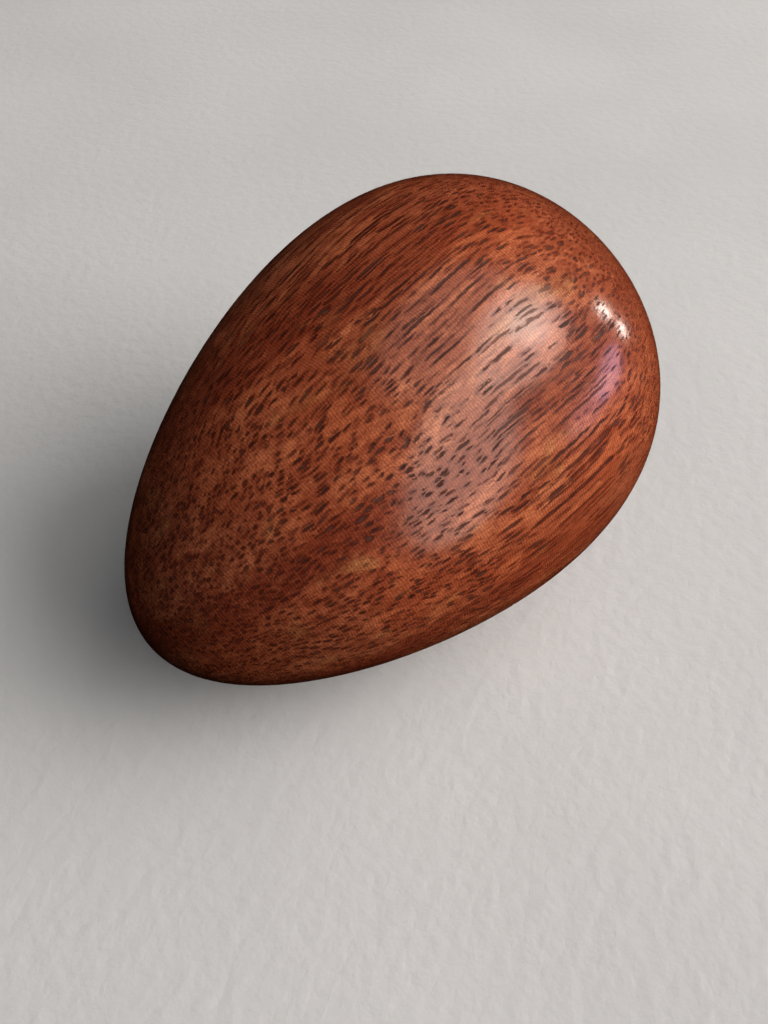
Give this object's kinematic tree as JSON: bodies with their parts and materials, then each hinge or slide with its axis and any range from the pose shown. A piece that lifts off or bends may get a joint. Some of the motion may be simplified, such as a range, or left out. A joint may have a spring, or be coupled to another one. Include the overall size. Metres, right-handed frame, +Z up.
{
  "type": "egg shaker",
  "caption": "Turned wooden egg-shaped hand shaker, hollowed through its blunt end, closed by a flush wooden plug, with loose steel shot inside.",
  "frame": {"origin": "on the table that the shaker lies on, under the middle of its bounding box", "axes": "+Z up from the table; +X towards the blunt end, level, along the long axis as seen from above; +Y across"},
  "size_m": [0.0632, 0.046, 0.0468],
  "materials": {
    "body_wood": "clear satin-gloss lacquer over turned mahogany, bare wood inside",
    "plug_wood": "clear satin-gloss lacquer over turned mahogany end grain, bare wood inside",
    "steel_shot": "polished"
  },
  "bodies": {
    "shell": {"shell_body": "body_wood", "end_plug": "plug_wood"},
    "ball_01": {"shot_01": "steel_shot"},
    "ball_02": {"shot_02": "steel_shot"},
    "ball_03": {"shot_03": "steel_shot"},
    "ball_04": {"shot_04": "steel_shot"},
    "ball_05": {"shot_05": "steel_shot"},
    "ball_06": {"shot_06": "steel_shot"},
    "ball_07": {"shot_07": "steel_shot"},
    "ball_08": {"shot_08": "steel_shot"},
    "ball_09": {"shot_09": "steel_shot"},
    "ball_10": {"shot_10": "steel_shot"},
    "ball_11": {"shot_11": "steel_shot"},
    "ball_12": {"shot_12": "steel_shot"},
    "ball_13": {"shot_13": "steel_shot"},
    "ball_14": {"shot_14": "steel_shot"},
    "ball_15": {"shot_15": "steel_shot"},
    "ball_16": {"shot_16": "steel_shot"},
    "ball_17": {"shot_17": "steel_shot"},
    "ball_18": {"shot_18": "steel_shot"},
    "ball_19": {"shot_19": "steel_shot"},
    "ball_20": {"shot_20": "steel_shot"},
    "ball_21": {"shot_21": "steel_shot"},
    "ball_22": {"shot_22": "steel_shot"},
    "ball_23": {"shot_23": "steel_shot"},
    "ball_24": {"shot_24": "steel_shot"},
    "ball_25": {"shot_25": "steel_shot"},
    "ball_26": {"shot_26": "steel_shot"},
    "ball_27": {"shot_27": "steel_shot"},
    "ball_28": {"shot_28": "steel_shot"},
    "ball_29": {"shot_29": "steel_shot"},
    "ball_30": {"shot_30": "steel_shot"},
    "ball_31": {"shot_31": "steel_shot"},
    "ball_32": {"shot_32": "steel_shot"},
    "ball_33": {"shot_33": "steel_shot"},
    "ball_34": {"shot_34": "steel_shot"},
    "ball_35": {"shot_35": "steel_shot"},
    "ball_36": {"shot_36": "steel_shot"}
  },
  "joints": [
    {"name": "ball_01_flight", "type": "slide", "parent": "shell", "child": "ball_01", "axis": [0, 0, 1], "range_m": [0, 0.0297]},
    {"name": "ball_02_flight", "type": "slide", "parent": "shell", "child": "ball_02", "axis": [0, 0, 1], "range_m": [0, 0.0307]},
    {"name": "ball_03_flight", "type": "slide", "parent": "shell", "child": "ball_03", "axis": [0, 0, 1], "range_m": [0, 0.0273]},
    {"name": "ball_04_flight", "type": "slide", "parent": "shell", "child": "ball_04", "axis": [0, 0, 1], "range_m": [0, 0.0292]},
    {"name": "ball_05_flight", "type": "slide", "parent": "shell", "child": "ball_05", "axis": [0, 0, 1], "range_m": [0, 0.0292]},
    {"name": "ball_06_flight", "type": "slide", "parent": "shell", "child": "ball_06", "axis": [0, 0, 1], "range_m": [0, 0.0302]},
    {"name": "ball_07_flight", "type": "slide", "parent": "shell", "child": "ball_07", "axis": [0, 0, 1], "range_m": [0, 0.0273]},
    {"name": "ball_08_flight", "type": "slide", "parent": "shell", "child": "ball_08", "axis": [0, 0, 1], "range_m": [0, 0.0273]},
    {"name": "ball_09_flight", "type": "slide", "parent": "shell", "child": "ball_09", "axis": [0, 0, 1], "range_m": [0, 0.0295]},
    {"name": "ball_10_flight", "type": "slide", "parent": "shell", "child": "ball_10", "axis": [0, 0, 1], "range_m": [0, 0.0295]},
    {"name": "ball_11_flight", "type": "slide", "parent": "shell", "child": "ball_11", "axis": [0, 0, 1], "range_m": [0, 0.0237]},
    {"name": "ball_12_flight", "type": "slide", "parent": "shell", "child": "ball_12", "axis": [0, 0, 1], "range_m": [0, 0.0242]},
    {"name": "ball_13_flight", "type": "slide", "parent": "shell", "child": "ball_13", "axis": [0, 0, 1], "range_m": [0, 0.0242]},
    {"name": "ball_14_flight", "type": "slide", "parent": "shell", "child": "ball_14", "axis": [0, 0, 1], "range_m": [0, 0.0278]},
    {"name": "ball_15_flight", "type": "slide", "parent": "shell", "child": "ball_15", "axis": [0, 0, 1], "range_m": [0, 0.0278]},
    {"name": "ball_16_flight", "type": "slide", "parent": "shell", "child": "ball_16", "axis": [0, 0, 1], "range_m": [0, 0.0272]},
    {"name": "ball_17_flight", "type": "slide", "parent": "shell", "child": "ball_17", "axis": [0, 0, 1], "range_m": [0, 0.0256]},
    {"name": "ball_18_flight", "type": "slide", "parent": "shell", "child": "ball_18", "axis": [0, 0, 1], "range_m": [0, 0.0256]},
    {"name": "ball_19_flight", "type": "slide", "parent": "shell", "child": "ball_19", "axis": [0, 0, 1], "range_m": [0, 0.0243]},
    {"name": "ball_20_flight", "type": "slide", "parent": "shell", "child": "ball_20", "axis": [0, 0, 1], "range_m": [0, 0.0243]},
    {"name": "ball_21_flight", "type": "slide", "parent": "shell", "child": "ball_21", "axis": [0, 0, 1], "range_m": [0, 0.0188]},
    {"name": "ball_22_flight", "type": "slide", "parent": "shell", "child": "ball_22", "axis": [0, 0, 1], "range_m": [0, 0.0197]},
    {"name": "ball_23_flight", "type": "slide", "parent": "shell", "child": "ball_23", "axis": [0, 0, 1], "range_m": [0, 0.0197]},
    {"name": "ball_24_flight", "type": "slide", "parent": "shell", "child": "ball_24", "axis": [0, 0, 1], "range_m": [0, 0.025]},
    {"name": "ball_25_flight", "type": "slide", "parent": "shell", "child": "ball_25", "axis": [0, 0, 1], "range_m": [0, 0.025]},
    {"name": "ball_26_flight", "type": "slide", "parent": "shell", "child": "ball_26", "axis": [0, 0, 1], "range_m": [0, 0.0213]},
    {"name": "ball_27_flight", "type": "slide", "parent": "shell", "child": "ball_27", "axis": [0, 0, 1], "range_m": [0, 0.0213]},
    {"name": "ball_28_flight", "type": "slide", "parent": "shell", "child": "ball_28", "axis": [0, 0, 1], "range_m": [0, 0.0228]},
    {"name": "ball_29_flight", "type": "slide", "parent": "shell", "child": "ball_29", "axis": [0, 0, 1], "range_m": [0, 0.0228]},
    {"name": "ball_30_flight", "type": "slide", "parent": "shell", "child": "ball_30", "axis": [0, 0, 1], "range_m": [0, 0.0164]},
    {"name": "ball_31_flight", "type": "slide", "parent": "shell", "child": "ball_31", "axis": [0, 0, 1], "range_m": [0, 0.0164]},
    {"name": "ball_32_flight", "type": "slide", "parent": "shell", "child": "ball_32", "axis": [0, 0, 1], "range_m": [0, 0.0131]},
    {"name": "ball_33_flight", "type": "slide", "parent": "shell", "child": "ball_33", "axis": [0, 0, 1], "range_m": [0, 0.0131]},
    {"name": "ball_34_flight", "type": "slide", "parent": "shell", "child": "ball_34", "axis": [0, 0, 1], "range_m": [0, 0.0116]},
    {"name": "ball_35_flight", "type": "slide", "parent": "shell", "child": "ball_35", "axis": [0, 0, 1], "range_m": [0, 0.0214]},
    {"name": "ball_36_flight", "type": "slide", "parent": "shell", "child": "ball_36", "axis": [0, 0, 1], "range_m": [0, 0.0214]}
  ]
}
